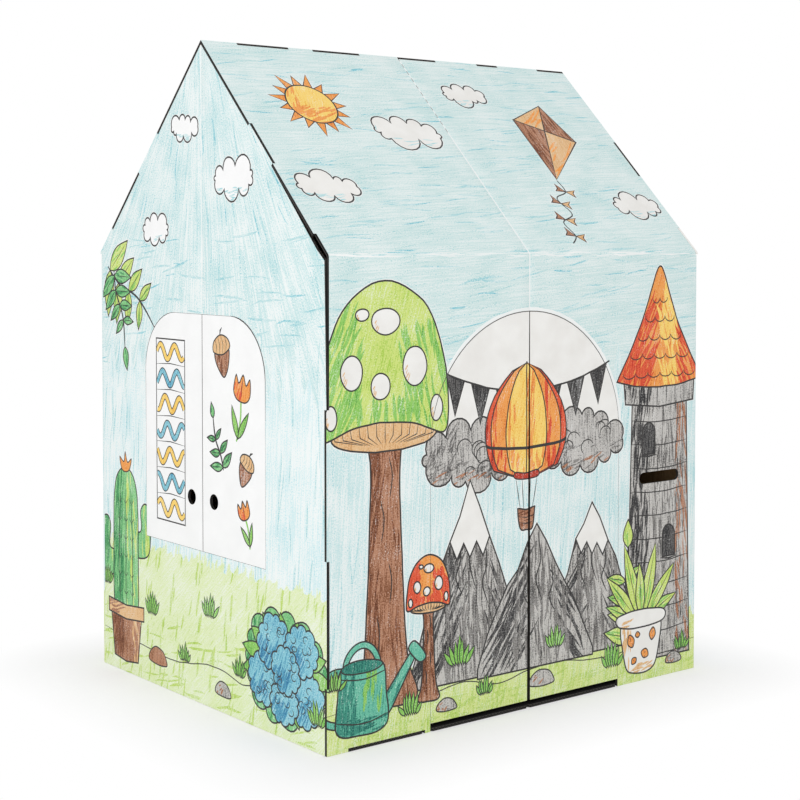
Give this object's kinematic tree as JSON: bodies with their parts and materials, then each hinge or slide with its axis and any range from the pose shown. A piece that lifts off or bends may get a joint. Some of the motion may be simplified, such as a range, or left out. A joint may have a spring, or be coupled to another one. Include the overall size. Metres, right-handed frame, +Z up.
{
  "type": "cardboard playhouse",
  "caption": "Free-standing playhouse of folded corrugated card with a pitched roof, finger-jointed edges, arched flap door, flap shutters and a letter slot.",
  "frame": {"origin": "on the ground in the middle of the house, at the centre of the bottom of its bounding box", "axes": "+Z up, +X along the ridge to the right as seen from the front, front wall with the door facing -Y"},
  "size_m": [0.82, 0.7, 1.1],
  "materials": {
    "printed_board": "matte white liner with a coloured-in print",
    "white_board": "matte white liner with line print",
    "plain_board": "plain matte black liner"
  },
  "bodies": {
    "house": {"front_sheet": "printed_board", "back_sheet": "printed_board", "floor_sheet": "plain_board"},
    "left_leaf": {"left_door_leaf": "printed_board"},
    "right_leaf": {"right_door_leaf": "printed_board"},
    "left_front_flap": {"left_front_shutter": "white_board"},
    "left_back_flap": {"left_back_shutter": "white_board"},
    "right_front_flap": {"right_front_shutter": "white_board"},
    "right_back_flap": {"right_back_shutter": "white_board"}
  },
  "joints": [
    {"name": "left_door_hinge", "type": "hinge", "parent": "house", "child": "left_leaf", "pos_m": [-0.21, -0.35, 0.23], "axis": [0, 0, -1], "range_deg": [0, 170]},
    {"name": "right_door_hinge", "type": "hinge", "parent": "house", "child": "right_leaf", "pos_m": [0.21, -0.35, 0.23], "axis": [0, 0, 1], "range_deg": [0, 170]},
    {"name": "left_front_shutter_hinge", "type": "hinge", "parent": "house", "child": "left_front_flap", "pos_m": [-0.41, -0.187, 0.4], "axis": [0, 0, 1], "range_deg": [0, 170]},
    {"name": "left_back_shutter_hinge", "type": "hinge", "parent": "house", "child": "left_back_flap", "pos_m": [-0.41, 0.187, 0.4], "axis": [0, 0, -1], "range_deg": [0, 170]},
    {"name": "right_front_shutter_hinge", "type": "hinge", "parent": "house", "child": "right_front_flap", "pos_m": [0.41, -0.187, 0.4], "axis": [0, 0, -1], "range_deg": [0, 170]},
    {"name": "right_back_shutter_hinge", "type": "hinge", "parent": "house", "child": "right_back_flap", "pos_m": [0.41, 0.187, 0.4], "axis": [0, 0, 1], "range_deg": [0, 170]}
  ]
}
